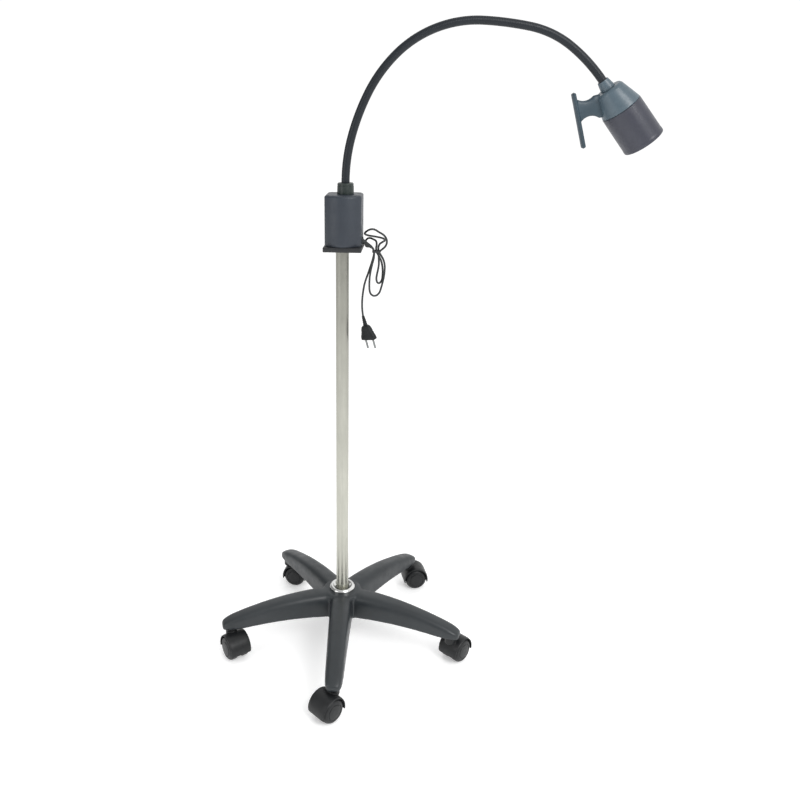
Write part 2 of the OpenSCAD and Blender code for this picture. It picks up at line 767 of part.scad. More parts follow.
star_base();
hub_ring();
pole();
pole_plug();
pole_bolt();
for (i = [1:arms]) {
    castor_housing(i);
    castor_pins(i);
    wheel_side(i, 1);
    wheel_side(i, -1);
}
case_shell();
case_base_plate();
case_screws();
pole_socket();
led_driver();
terminal_block();
switch_frame();
switch_rocker();
cord_gland();
neck_collar();
for (k = [1:len(neck_bends)]) neck(k);
head_collar();
rear_cone();
front_barrel();
handle();
handle_screws();
heat_sink();
led_board();
led_chips();
led_lenses();
front_glass();
front_bezel();
cord_lead();
cord_hank();
cord_tie();
plug_body();
plug_pins();
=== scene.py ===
import json
import math

import bmesh
import bpy
import numpy as np
from mathutils import Matrix, Vector


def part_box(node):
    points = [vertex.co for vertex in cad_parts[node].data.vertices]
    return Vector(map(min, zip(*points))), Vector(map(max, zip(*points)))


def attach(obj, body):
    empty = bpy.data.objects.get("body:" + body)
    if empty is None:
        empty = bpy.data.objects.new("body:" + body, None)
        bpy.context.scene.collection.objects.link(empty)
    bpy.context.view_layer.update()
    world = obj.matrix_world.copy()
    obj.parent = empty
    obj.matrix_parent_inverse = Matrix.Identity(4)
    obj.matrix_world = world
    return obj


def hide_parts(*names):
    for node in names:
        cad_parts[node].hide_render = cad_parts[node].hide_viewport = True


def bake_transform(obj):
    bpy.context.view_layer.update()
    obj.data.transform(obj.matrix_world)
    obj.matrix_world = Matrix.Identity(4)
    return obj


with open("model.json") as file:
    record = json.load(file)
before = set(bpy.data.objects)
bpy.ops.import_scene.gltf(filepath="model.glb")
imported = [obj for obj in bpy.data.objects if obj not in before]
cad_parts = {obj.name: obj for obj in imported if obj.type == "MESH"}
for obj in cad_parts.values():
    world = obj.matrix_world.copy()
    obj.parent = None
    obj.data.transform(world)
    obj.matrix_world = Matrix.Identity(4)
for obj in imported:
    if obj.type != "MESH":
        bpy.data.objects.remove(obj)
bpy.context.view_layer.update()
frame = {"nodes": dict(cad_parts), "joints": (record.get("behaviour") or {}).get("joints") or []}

joints = {j["name"]: j for j in frame["joints"]}
NODES = frame["nodes"]
MM = 0.001
ARMS = 5


def mm(*v):
    return Vector(v) * MM


# ---- camera and mains lead ----

PITCH = 15.56
camera_data = bpy.data.cameras.new("camera")
camera_data.lens = 37.35
camera_data.sensor_width = 36
camera_data.shift_x = 0.072
camera_data.shift_y = -0.1
camera_data.clip_end = 60
camera = bpy.data.objects.new("camera", camera_data)
camera.location = (0, -1.594, 1.168)
camera.rotation_euler = (math.radians(90 - PITCH), 0, 0)
bpy.context.collection.objects.link(camera)
bpy.context.scene.camera = camera

CORD_D = 0.004
# Out of the boot, round the long loop, the right and upper bights, the short loop and the bight
# beside the case, and down to the plug: millimetres in the row frame
CORD_ROUTE = [
    (55.5, -4, 873), (58.5, -3.5, 870.5), (60.5, -3, 867), (61.8, -2.4, 861), (61.2, -3, 850),
    (57.8, -5, 837), (54.8, -7, 823), (53.2, -8.4, 810), (52.8, -9.2, 798), (53.2, -9.4, 788),
    (55.4, -8.4, 780.4), (60.8, -5.6, 775.4), (67.6, -2.2, 775.4), (73, 0.6, 780.2),
    (76, 1.8, 788), (79, 2.6, 799), (81.6, 3, 811), (83, 2.8, 824), (82.8, 2.2, 836),
    (79.8, 1.8, 847), (75, 2, 855.6), (71.2, 2.2, 862.6), (70.2, 1.6, 870.4), (72.8, 1.2, 877.4),
    (78.4, 3.2, 881), (82.8, 9.4, 882.6), (81.8, 17.2, 884.4), (75.6, 22.6, 886),
    (67, 23.4, 887.6), (60, 23.4, 888.8), (53.4, 23, 890), (47.2, 20.2, 892), (44, 14.6, 894.8),
    (44.4, 8, 898.6), (48, 3, 902.6), (53.4, 0.8, 905.8), (59.6, 0.4, 906.4), (65.4, 0, 904.4),
    (70.4, -1.2, 901.2), (75.8, -3.6, 898.6), (81, -7.2, 895), (84.8, -10.4, 889.6),
    (85.8, -11.6, 882.8), (84, -10.8, 876.4), (80, -8.4, 871), (75.4, -5.6, 866.6),
    (71.8, -3.4, 861.6), (70.6, -2.8, 855), (71, -4, 847), (71, -5.8, 838), (69.6, -7.8, 829),
    (67.6, -9.4, 820), (66.4, -10.2, 812), (67.4, -8.4, 804.8), (70.8, -3.4, 800.2),
    (74.8, 3.8, 800.2), (78.2, 8.8, 804.8), (79.2, 10.6, 812), (79.4, 10.4, 822), (78.4, 9, 833),
    (75.6, 6.8, 844), (71, 4.2, 853.6), (67, 2.4, 861), (65.8, 2.2, 868.4), (66.8, 4, 876),
    (65.6, 9.4, 882), (61.2, 16.4, 883.6), (56.4, 22.6, 884.8), (51.2, 27.2, 884.2),
    (46.8, 28.6, 880), (45.2, 25.6, 874.6), (46, 19, 871), (48.6, 12.6, 870.2), (52.6, 7.8, 871),
    (57.2, 4.6, 869.6), (60.4, 2.8, 866.4), (61.8, 2.2, 860.6), (60.6, 1.6, 852), (58, 1, 842),
    (54, 0, 830), (50, -1, 818), (46, -2, 807), (43, -3, 796), (41, -3, 784), (39.5, -3, 771),
    (39, -3, 758), (39.5, -3, 745), (41, -3, 733)]
ROUTE_STEPS = 5


def smooth_path(points, steps):
    """A Catmull-Rom line through points, with steps pieces between each two."""
    p = [Vector(q) for q in points]
    p = [2 * p[0] - p[1]] + p + [2 * p[-1] - p[-2]]
    out = []
    for a, b, c, d in zip(p, p[1:], p[2:], p[3:]):
        for i in range(steps):
            t = i / steps
            out.append(0.5 * (2 * b + (c - a) * t + (2 * a - 5 * b + 4 * c - d) * t ** 2
                              + (3 * b - a - 3 * c + d) * t ** 3))
    return out + [p[-2]]


cord_line = [q * MM for q in smooth_path(CORD_ROUTE, ROUTE_STEPS)]
cord_curve = bpy.data.curves.new("mains_lead", "CURVE")
cord_curve.dimensions = "3D"
cord_curve.bevel_depth = CORD_D / 2
cord_curve.bevel_resolution = 4
cord_curve.use_fill_caps = True
spline = cord_curve.splines.new("POLY")
spline.points.add(len(cord_line) - 1)
for point, q in zip(spline.points, cord_line):
    point.co = (*q, 1)
spline.use_smooth = True
mains_lead = bpy.data.objects.new("mains_lead", cord_curve)
bpy.context.collection.objects.link(mains_lead)


# ---- materials ----

RANGE_KEYS = ("From Min", "From Max", "To Min", "To Max")


class Nodes:
    """Short ways to add shader nodes to one material."""

    def __init__(self, name):
        self.mat = bpy.data.materials.new(name)
        self.mat.use_nodes = True
        self.tree = self.mat.node_tree
        self.shader = self.tree.nodes["Principled BSDF"]
        self.where = self.new("ShaderNodeTexCoord").outputs["Object"]

    def new(self, kind, **values):
        node = self.tree.nodes.new(kind)
        for key, value in values.items():
            setattr(node, key, value)
        return node

    def link(self, source, target):
        self.tree.links.new(source, target)

    def stretched(self, scale):
        node = self.new("ShaderNodeMapping")
        node.inputs["Scale"].default_value = scale
        self.link(self.where, node.inputs["Vector"])
        return node.outputs["Vector"]

    def noise(self, scale, detail=4, rough=0.55, stretch=None):
        node = self.new("ShaderNodeTexNoise")
        node.inputs["Scale"].default_value = scale
        node.inputs["Detail"].default_value = detail
        node.inputs["Roughness"].default_value = rough
        self.link(self.stretched(stretch) if stretch else self.where, node.inputs["Vector"])
        return node.outputs["Fac"]

    def spread(self, source, low, high, out_low, out_high):
        node = self.new("ShaderNodeMapRange")
        for key, value in zip(RANGE_KEYS, (low, high, out_low, out_high)):
            node.inputs[key].default_value = value
        self.link(source, node.inputs["Value"])
        return node.outputs["Result"]

    def blend(self, factor, a, b):
        node = self.new("ShaderNodeMix", data_type="RGBA")
        for key, value in ((6, a), (7, b)):
            if isinstance(value, tuple):
                node.inputs[key].default_value = (*value, 1)
            else:
                self.link(value, node.inputs[key])
        self.link(factor, node.inputs[0])
        return node.outputs[2]

    def bump(self, height, strength, distance):
        node = self.new("ShaderNodeBump")
        node.inputs["Strength"].default_value = strength
        node.inputs["Distance"].default_value = distance
        self.link(height, node.inputs["Height"])
        before = self.shader.inputs["Normal"].links
        if before:
            self.link(before[0].from_socket, node.inputs["Normal"])
        self.link(node.outputs["Normal"], self.shader.inputs["Normal"])


def scaled(colour, k):
    return tuple(min(1, c * k) for c in colour)


def finish_of(name, colour, rough, metal=0.0, mottle=0.15, patch=14, grain=1400, grain_height=0.00006,
              wear=0.35, rough_spread=0.1, coat=0.0, stretch=None, specular=0.5):
    """A moulded or painted finish: soft patches, fine grain, uneven gloss and lighter worn edges."""
    n = Nodes(name)
    soft = n.noise(patch, 5)
    tint = n.blend(n.spread(soft, 0.3, 0.7, 0, 1), scaled(colour, 1 - mottle),
                   scaled(colour, 1 + mottle))
    fine = n.noise(grain, 2, 0.6, stretch)
    tint = n.blend(n.spread(fine, 0.35, 0.75, 0, 0.25), tint, scaled(colour, 1.5))
    edge = n.spread(n.new("ShaderNodeNewGeometry").outputs["Pointiness"], 0.52, 0.62, 0, wear)
    tint = n.blend(edge, tint, scaled(colour, 2.4))
    n.link(tint, n.shader.inputs["Base Color"])
    n.link(n.spread(n.noise(patch * 6, 6), 0.3, 0.7, rough - rough_spread, rough + rough_spread),
           n.shader.inputs["Roughness"])
    n.shader.inputs["Metallic"].default_value = metal
    n.shader.inputs["Coat Weight"].default_value = coat
    n.shader.inputs["Specular IOR Level"].default_value = specular
    n.bump(fine, 0.6, grain_height)
    return n.mat


def tube_steel(name):
    """Drawn steel tube: fine lengthwise lines, faint cloudy stains, and a painted reflection that colours
    its upper half darker.
    """
    n = Nodes(name)
    lines = n.noise(1, 5, 0.7, (900, 900, 12))
    cloud = n.noise(1, 5, 0.6, (30, 30, 9))
    height = n.new("ShaderNodeSeparateXYZ")
    n.link(n.where, height.inputs[0])
    # painted reflection: the low and high colours make the upper half of the tube darker, as if it mirrored
    # a darker room above
    low = n.blend(n.spread(cloud, 0.3, 0.7, 0, 1), (0.42, 0.42, 0.37), (0.54, 0.54, 0.48))
    high = n.blend(n.spread(cloud, 0.3, 0.7, 0, 1), (0.22, 0.22, 0.195), (0.32, 0.315, 0.28))
    # the painted reflection is blended in by height, from the lower colour to the darker upper one
    tone_with_painted_reflection = n.blend(n.spread(height.outputs["Z"], 0.3, 0.86, 0, 1), low, high)
    tone_with_painted_reflection = n.blend(n.spread(lines, 0.4, 0.8, 0, 0.3), tone_with_painted_reflection, (0.25, 0.25, 0.23))
    n.link(tone_with_painted_reflection, n.shader.inputs["Base Color"])
    n.link(n.spread(cloud, 0.25, 0.75, 0.26, 0.42), n.shader.inputs["Roughness"])
    n.shader.inputs["Metallic"].default_value = 0.92
    n.bump(lines, 0.25, 0.00004)
    return n.mat


def bare_metal(name, colour, rough, stretch=(300, 300, 300)):
    n = Nodes(name)
    lines = n.noise(1, 4, 0.7, stretch)
    cloud = n.noise(45, 4)
    n.link(n.blend(n.spread(cloud, 0.3, 0.7, 0, 1), scaled(colour, 0.82), scaled(colour, 1.08)),
           n.shader.inputs["Base Color"])
    n.link(n.spread(lines, 0.3, 0.7, rough * 0.7, rough * 1.4), n.shader.inputs["Roughness"])
    n.shader.inputs["Metallic"].default_value = 1.0
    n.bump(lines, 0.2, 0.00003)
    return n.mat


def clear(name, rough, tint):
    n = Nodes(name)
    smear = n.noise(38, 5)
    n.link(n.blend(n.spread(smear, 0.3, 0.7, 0, 1), scaled(tint, 0.94), tint),
           n.shader.inputs["Base Color"])
    n.link(n.spread(smear, 0.3, 0.8, rough, rough + 0.06), n.shader.inputs["Roughness"])
    n.shader.inputs["Transmission Weight"].default_value = 1.0
    n.shader.inputs["IOR"].default_value = 1.49
    n.bump(n.noise(260, 2), 0.05, 0.0001)
    return n.mat


M = {
    "base": finish_of("moulded_nylon", (0.016, 0.020, 0.023), 0.42, mottle=0.25, patch=9, grain=900,
                      wear=0.3),
    "castor": finish_of("castor_nylon", (0.009, 0.010, 0.011), 0.45, specular=0.35, mottle=0.22,
                        patch=30, wear=0.25),
    "wheel": finish_of("wheel_nylon", (0.008, 0.009, 0.010), 0.42, specular=0.35, mottle=0.3,
                       patch=50, wear=0.2),
    "case": finish_of("case_plastic", (0.018, 0.024, 0.034), 0.46, mottle=0.1, patch=16, grain=1800,
                      wear=0.25),
    "plate": finish_of("plate_plastic", (0.007, 0.008, 0.010), 0.5, mottle=0.2, patch=22, wear=0.25),
    "collar": finish_of("collar_paint", (0.014, 0.022, 0.020), 0.38, mottle=0.12, patch=40, wear=0.4),
    "neck": finish_of("neck_sheath", (0.008, 0.011, 0.015), 0.42, specular=0.3, mottle=0.15,
                      patch=20, wear=0.25),
    "light": finish_of("head_light_paint", (0.062, 0.092, 0.115), 0.42, mottle=0.08, patch=24,
                       wear=0.3, coat=0.1),
    "dark": finish_of("head_dark_paint", (0.026, 0.028, 0.042), 0.42, mottle=0.1, patch=24,
                      wear=0.3, coat=0.1),
    "handle": finish_of("handle_plastic", (0.022, 0.042, 0.058), 0.44, mottle=0.12, patch=26,
                        wear=0.3),
    "cord": finish_of("cord_sheath", (0.015, 0.018, 0.019), 0.5, mottle=0.2, patch=60, grain=2600,
                      wear=0.0),
    "plug": finish_of("plug_rubber", (0.005, 0.007, 0.008), 0.5, specular=0.3, mottle=0.2, patch=60,
                      grain=2200, wear=0.1),
    "black": finish_of("black_plastic", (0.012, 0.013, 0.015), 0.4, mottle=0.2, patch=40, wear=0.25),
    "white": finish_of("white_plastic", (0.78, 0.78, 0.74), 0.45, mottle=0.05, patch=60, wear=0.0),
    "red": finish_of("red_rocker", (0.30, 0.015, 0.012), 0.28, mottle=0.15, patch=90, wear=0.2,
                     coat=0.3),
    "potting": finish_of("driver_potting", (0.02, 0.021, 0.024), 0.6, mottle=0.3, patch=40,
                         grain=500, grain_height=0.0003, wear=0.1),
    "cast": finish_of("cast_zinc", (0.42, 0.42, 0.41), 0.5, metal=0.9, mottle=0.15, patch=60,
                      grain=700, grain_height=0.0002, wear=0.2),
    "phosphor": finish_of("led_phosphor", (0.85, 0.66, 0.18), 0.5, mottle=0.08, patch=300, wear=0.0),
    "pole": tube_steel("pole_steel"),
    "chrome": bare_metal("bright_steel", (0.72, 0.72, 0.71), 0.16),
    "zinc": bare_metal("zinc_steel", (0.55, 0.56, 0.56), 0.32),
    "pin": bare_metal("pin_brass_plated", (0.24, 0.25, 0.25), 0.3),
    "sink": bare_metal("sink_aluminium", (0.72, 0.73, 0.74), 0.3, (60, 900, 900)),
    "lens": clear("clear_lens", 0.03, (0.97, 0.985, 1.0)),
}


# ---- mesh tools ----

def make(name, verts, faces, material, sharp=40):
    """A smooth-shaded mesh object whose edges steeper than the sharp angle stay sharp."""
    mesh = bpy.data.meshes.new(name)
    mesh.from_pydata([tuple(v) for v in verts], [], faces)
    mesh.validate()
    return place_mesh(name, mesh, material, sharp)


def place_mesh(name, mesh, material, sharp):
    """An object of a finished mesh, with its outward normals, shading, material and slot."""
    bm = bmesh.new()
    bm.from_mesh(mesh)
    bmesh.ops.recalc_face_normals(bm, faces=bm.faces)
    bm.to_mesh(mesh)
    bm.free()
    mesh.shade_smooth()
    mesh.set_sharp_from_angle(angle=math.radians(sharp))
    mesh.materials.clear()
    mesh.materials.append(M[material])
    obj = bpy.data.objects.new(name, mesh)
    bpy.context.collection.objects.link(obj)
    return obj


def loft_parts(rings, closed=False):
    """A skin over rings of equal size: its ends are capped, or closed joins the last to the first."""
    n, count = len(rings[0]), len(rings)
    verts = [v for ring in rings for v in ring]
    faces = [(i * n + j, i * n + (j + 1) % n, (i + 1) % count * n + (j + 1) % n, (i + 1) % count * n + j)
             for i in range(count if closed else count - 1) for j in range(n)]
    if not closed:
        faces += [tuple(reversed(range(n))), tuple(range((count - 1) * n, count * n))]
    return verts, faces


def superellipse(half_x, half_y, power, steps):
    """Points round a rounded rectangle: the higher the power, the squarer its corners."""
    out = []
    for k in range(steps):
        a = 2 * math.pi * k / steps
        c, s = math.cos(a), math.sin(a)
        out.append((half_x * math.copysign(abs(c) ** (2 / power), c),
                    half_y * math.copysign(abs(s) ** (2 / power), s)))
    return out


def fillet(points, steps=5):
    """A closed outline with its corners rounded: points are (x, y, radius)."""
    out = []
    for i, (x, y, r) in enumerate(points):
        here = Vector((x, y))
        if r <= 0:
            out.append(here)
            continue
        a = Vector(points[i - 1][:2]) - here
        b = Vector(points[(i + 1) % len(points)][:2]) - here
        half = a.angle(b) / 2
        cut = min(r / math.tan(half), 0.49 * a.length, 0.49 * b.length)
        r = cut * math.tan(half)
        start, end = here + a.normalized() * cut, here + b.normalized() * cut
        centre = here + (a.normalized() + b.normalized()).normalized() * (r / math.sin(half))
        for k in range(steps + 1):
            chord = start.lerp(end, k / steps) - centre
            out.append(centre + chord.normalized() * r)
    return out


def lathe_parts(outline, segments=96, turn=(0, 360)):
    """A closed outline of (radius, height) turned about Z. Points on the axis become one vertex."""
    full = turn[1] - turn[0] >= 360
    steps = segments if full else segments + 1
    angles = [math.radians(turn[0] + (turn[1] - turn[0]) * k / segments) for k in range(steps)]
    verts, index = [], []
    for r, z in outline:
        if r < 1e-6:
            index.append([len(verts)] * steps)
            verts.append((0, 0, z))
        else:
            index.append(list(range(len(verts), len(verts) + steps)))
            verts += [(r * math.cos(a), r * math.sin(a), z) for a in angles]
    faces = []
    for i in range(len(outline)):
        a, b = index[i], index[(i + 1) % len(outline)]
        for k in range(segments):
            m = (k + 1) % steps
            quad = []
            for v in (a[k], a[m], b[m], b[k]):
                if v not in quad:
                    quad.append(v)
            if len(quad) > 2:
                faces.append(tuple(quad))
    if not full:
        faces += [tuple(ring[0] for ring in index), tuple(reversed([ring[-1] for ring in index]))]
    return verts, faces


def lathe(name, outline, matrix, material, segments=96):
    """A turned piece: its outline is (radius, height, corner radius) in millimetres."""
    verts, faces = lathe_parts([p * MM for p in fillet(outline)], segments)
    obj = make(name, verts, faces, material)
    obj.matrix_world = matrix
    return obj


def joined(parts):
    """Several parts as one list of vertices and one of faces."""
    verts, faces = [], []
    for v, f in parts:
        base = len(verts)
        verts += [tuple(p) for p in v]
        faces += [tuple(base + i for i in face) for face in f]
    return verts, faces


def moulded(name, parts, voxel, smooth, material):
    """Closed shells grown together into one skin with soft corners."""
    verts, faces = joined(parts)
    mesh = bpy.data.meshes.new(name + "_raw")
    mesh.from_pydata(verts, [], faces)
    raw = bpy.data.objects.new(name + "_raw", mesh)
    bpy.context.collection.objects.link(raw)
    remesh = raw.modifiers.new("remesh", "REMESH")
    remesh.mode = "VOXEL"
    remesh.voxel_size = voxel * MM
    soften = raw.modifiers.new("soften", "SMOOTH")
    soften.factor = 0.5
    soften.iterations = smooth
    bpy.context.view_layer.update()
    done = bpy.data.meshes.new_from_object(raw.evaluated_get(bpy.context.evaluated_depsgraph_get()))
    bpy.data.objects.remove(raw)
    return place_mesh(name, done, material, 180)


def box_part(low, high):
    (x0, y0, z0), (x1, y1, z1) = low, high
    v = [(x, y, z) for z in (z0, z1) for x, y in ((x0, y0), (x1, y0), (x1, y1), (x0, y1))]
    return v, [(3, 2, 1, 0), (4, 5, 6, 7), (0, 1, 5, 4), (1, 2, 6, 5), (2, 3, 7, 6), (3, 0, 4, 7)]


def moved(part, matrix):
    return [matrix @ Vector(v) for v in part[0]], part[1]


def in_mm(part):
    return [Vector(v) * MM for v in part[0]], part[1]


def axes(origin, x, z):
    """A matrix with its X and Z along two directions."""
    z = Vector(z).normalized()
    x = (Vector(x) - Vector(x).dot(z) * z).normalized()
    y = z.cross(x)
    return Matrix.Translation(origin) @ Matrix((x, y, z)).transposed().to_4x4()


def turned(degrees):
    return Matrix.Rotation(math.radians(degrees), 4, "Z")


# ---- star base ----

STEM_R, HUB_TOP, HUB_R = 245, 116, 42
ARM_DROP, ARM_ROOT, ARM_TIP, SOCKET_Z = 32, 24, 17.5, 62
FIRST_STEM = joints["castor_swivel_1"]["pos_m"]
FIRST_ARM = math.degrees(math.atan2(FIRST_STEM[1], FIRST_STEM[0]))
CAST_WALL, TOP_WALL, RIB = 5, 8, 5


def crest(r):
    """Height of an arm's top at a radius."""
    return HUB_TOP - ARM_DROP * (max(0, r - 50) / (STEM_R - 50)) ** 2


def belly(r):
    """Height of an arm's lower edge at a radius."""
    return SOCKET_Z + 6 * math.sin(math.pi * max(0, min(1, (r - 20) / (STEM_R - 40))))


def arm_half(r):
    return ARM_ROOT + (ARM_TIP - ARM_ROOT) * max(0, min(1, (r - 30) / (STEM_R - 30)))


def crowned(r, w, low, top, n=28):
    """Cross-section of an arm, from the lower left edge over the crown to the lower right edge."""
    c = min(w, (top - low) * 0.55)
    out = [(r, -w + 1.5, low), (r, -w - 0.2, low + 1.5)]
    for k in range(n + 1):
        a = math.pi * k / n
        s = math.cos(a)
        out.append((r, -w * math.copysign(abs(s) ** 0.6, s), top - c + c * math.sin(a) ** 0.8))
    return out + [(r, w + 0.2, low + 1.5), (r, w - 1.5, low)]


def arm_section(r):
    return crowned(r, arm_half(r), belly(r), crest(r))


def arm_parts():
    """An arm along +X: solid root and end, an open channel between them, and its cross ribs."""
    tip = []
    for a in (0, 15, 30, 45, 60, 72, 82, 88):
        r = STEM_R - 12 + 31 * math.sin(math.radians(a))
        s = math.sqrt(math.cos(math.radians(a)))
        top = SOCKET_Z + 6 + (crest(r) - SOCKET_Z - 6) * s
        tip.append(crowned(r, 4 + (ARM_TIP - 4) * s, SOCKET_Z, top))
    solid_end = loft_parts([arm_section(r) for r in (222, 228)] + tip)
    root = loft_parts([arm_section(r) for r in (6, 30, 56)])
    channel = []
    for r in np.linspace(50, 224, 24):
        outer = arm_section(r)
        inner = [(x, y * (1 - CAST_WALL / arm_half(r)), min(z, crest(r) - TOP_WALL)) for x, y, z in outer]
        inner = [(x, y, belly(r) if z < belly(r) + 2 else z) for x, y, z in inner]
        channel.append(outer + inner[::-1])
    ribs = [box_part((r, -arm_half(r) + 3, belly(r)), (r + RIB, arm_half(r) - 3, crest(r) - 6))
            for r in (104, 160)]
    return [solid_end, root, loft_parts(channel)] + ribs


hub = lathe_parts([(0, SOCKET_Z), (HUB_R, SOCKET_Z), (HUB_R, HUB_TOP - 5), (HUB_R - 2, HUB_TOP - 1.5),
                   (HUB_R - 6, HUB_TOP), (0, HUB_TOP)])
parts = [in_mm(hub)]
for i in range(ARMS):
    parts += [moved(in_mm(p), turned(FIRST_ARM + 72 * i)) for p in arm_parts()]
star = moulded("star_moulding", parts, 2.0, 6, "base")
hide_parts("star_base")
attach(star, "stand")

ring = lathe("dished_ring", [(16, 0, 0), (27, 0, 0), (27, 5.6, 2), (23.6, 9, 1.6), (20.5, 8, 1),
                             (17, 2.4, 1), (16, 1.6, 0.3)],
             Matrix.Translation(mm(0, 0, HUB_TOP)), "chrome")
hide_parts("hub_ring")
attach(ring, "stand")

# ---- castors ----

WHEEL_R, WHEEL_W, TRAIL, WEB_HALF, WHEEL_GAP = 25, 20, 18, 4, 0.8
HOOD_IN, HOOD_OUT = WHEEL_R + 1.2, WHEEL_R + 4
HOOD_HALF = WEB_HALF + WHEEL_GAP + WHEEL_W - 2
BOSS_TOP = SOCKET_Z - 0.5


def castor_parts():
    """Hood, web and stem boss; the stem is on Z and the axle at +X by the trail."""
    to_axle = Matrix.Translation((TRAIL, 0, WHEEL_R)) @ Matrix.Rotation(math.radians(90), 4, "X")
    hood = fillet([(HOOD_IN, -HOOD_HALF, 0.6), (HOOD_OUT - 0.6, -HOOD_HALF, 2),
                   (HOOD_OUT + 0.2, -HOOD_HALF + 7, 8), (HOOD_OUT + 0.2, HOOD_HALF - 7, 8),
                   (HOOD_OUT - 0.6, HOOD_HALF, 2), (HOOD_IN, HOOD_HALF, 0.6)], 4)
    web = fillet([(0, -WEB_HALF, 0), (WHEEL_R - 7, -WEB_HALF, 1.5), (WHEEL_R - 7, WEB_HALF, 1.5),
                  (0, WEB_HALF, 0)], 4)
    upper = fillet([(HOOD_IN - 9, -WEB_HALF, 0), (HOOD_IN + 1.5, -WEB_HALF, 0),
                    (HOOD_IN + 1.5, WEB_HALF, 0), (HOOD_IN - 9, WEB_HALF, 0)], 4)
    boss = fillet([(0, BOSS_TOP - 16, 0), (12, BOSS_TOP - 16, 2), (12, BOSS_TOP, 2), (0, BOSS_TOP, 0)], 4)
    hood, web = lathe_parts(hood, 64, (-14, 194)), lathe_parts(web, 64)
    upper, boss = lathe_parts(upper, 64, (-4, 184)), lathe_parts(boss, 64)
    return [in_mm(moved(p, to_axle)) for p in (hood, web, upper)] + [in_mm(boss)]


housing_mesh = moulded("castor_moulding", castor_parts(), 0.9, 2, "castor").data
bpy.data.objects.remove(bpy.data.objects["castor_moulding"])

# A wheel from its inner face out: rim, tread, shoulder, groove, domed cap and the blind axle hole
wheel_outline = fillet([(3.05, 0, 0.3), (WHEEL_R - 6, 0, 0.6), (WHEEL_R - 6, 1, 0.4),
                        (WHEEL_R - 1.5, 1, 0.4), (WHEEL_R, 2.5, 1.6), (WHEEL_R, WHEEL_W - 7.4, 3),
                        (WHEEL_R - 3.4, WHEEL_W - 2.6, 5), (WHEEL_R - 8.4, WHEEL_W - 1, 1.2),
                        (WHEEL_R - 8.9, WHEEL_W - 2, 0.5), (WHEEL_R - 9.9, WHEEL_W - 2, 0.5),
                        (WHEEL_R - 10.4, WHEEL_W - 0.7, 1.2), (6, WHEEL_W, 3), (0, WHEEL_W, 0),
                        (0, 16, 0), (3.05, 16, 0.2)], 4)
wheel_verts, wheel_faces = lathe_parts([p * MM for p in wheel_outline])
wheel_mesh = None

for i in range(1, ARMS + 1):
    stem = Vector(joints[f"castor_swivel_{i}"]["pos_m"])
    axle = Vector(joints[f"wheel_left_roll_{i}"]["pos_m"])
    heading = math.degrees(math.atan2(axle.y - stem.y, axle.x - stem.x))
    at_stem = Matrix.Translation((stem.x, stem.y, 0)) @ turned(heading)
    housing = bpy.data.objects.new(f"castor_shell_{i}", housing_mesh)
    bpy.context.collection.objects.link(housing)
    housing.matrix_world = at_stem
    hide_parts(f"castor_housing_{i}")
    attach(housing, f"castor_{i}")
    for side, sign in (("left", 1), ("right", -1)):
        name = f"castor_wheel_{side}_{i}"
        if wheel_mesh is None:
            wheel = make(name, wheel_verts, wheel_faces, "wheel", 50)
            wheel_mesh = wheel.data
        else:
            wheel = bpy.data.objects.new(name, wheel_mesh)
            bpy.context.collection.objects.link(wheel)
        face = Matrix.Rotation(math.radians(90 if sign > 0 else -90), 4, "X")
        wheel.matrix_world = (at_stem @ Matrix.Translation(mm(TRAIL, 0, WHEEL_R)) @ face
                              @ Matrix.Translation(mm(0, 0, WEB_HALF + WHEEL_GAP)))
        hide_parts(f"wheel_{side}_{i}")
        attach(wheel, f"wheel_{side}_{i}")

# ---- driver case: turned on the column, its bowed front faces -Y ----

CASE_W, CASE_BACK, CASE_CORNER, CASE_BOW = 71, 32, 21, 19
CASE_TURN, CASE_SHIFT, NECK_SHIFT, BACK_CORNER = -6, 3, 6, 5
shell_low, shell_high = (v / MM for v in map(Vector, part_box("case_shell")))
SHELL_Z, CASE_TOP = shell_low.z, shell_high.z
CASE_Z = Vector(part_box("case_base_plate")[0]).z / MM
in_case = turned(CASE_TURN) @ Matrix.Translation(mm(CASE_SHIFT, 0, 0))


def case_outline(inset):
    """The D-shaped plan, drawn in by inset, with rounded back corners and a bowed front."""
    w, back, corner = CASE_W / 2 - inset, CASE_BACK - inset, BACK_CORNER
    bow_r = ((CASE_W / 2) ** 2 + CASE_BOW ** 2) / (2 * CASE_BOW)
    cy, r = bow_r - CASE_CORNER - CASE_BOW, bow_r - inset
    limit = math.asin(min(1, w / r))
    out = [(r * math.sin(a), cy - r * math.cos(a)) for a in np.linspace(-limit * 0.985, limit * 0.985, 40)]
    edge_y = cy - r * math.cos(limit)
    side_y = edge_y + 2.2
    side = [(side_y + (back - corner - side_y) * k / 8) for k in range(1, 8)]
    out += [(w - 0.25, edge_y + 0.5), (w, side_y)] + [(w, y) for y in side]
    for x0, a0 in ((w - corner, 0), (corner - w, 90)):
        out += [(x0 + corner * math.cos(math.radians(a)), back - corner + corner * math.sin(math.radians(a)))
                for a in np.linspace(a0, a0 + 90, 9)]
        if a0 == 0:
            out += [((w - corner) * (1 - k / 4), back) for k in range(1, 8)]
    out += [(-w, y) for y in reversed(side)]
    return out + [(-w, side_y), (-w + 0.25, edge_y + 0.5)]


def stacked(levels, outline):
    """Rings of an upright solid: levels are (height, inset)."""
    return [[mm(x, y, z) for x, y in outline(inset)] for z, inset in levels]


ROUND_HIGH, ROUND_IN = 5, 7
round_top = [(CASE_TOP - ROUND_HIGH + ROUND_HIGH * math.sin(a), ROUND_IN - ROUND_IN * math.cos(a))
             for a in np.linspace(0, math.pi / 2, 9)]
shell_levels = [(SHELL_Z, 0.8), (SHELL_Z + 0.6, 0.2), (SHELL_Z + 1.2, 0), (SHELL_Z + 8, 0)] + round_top
verts, faces = loft_parts(stacked(shell_levels, case_outline))
case = make("case_cover", verts, faces, "case", 35)
case.matrix_world = in_case
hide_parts("case_shell")
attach(case, "stand")


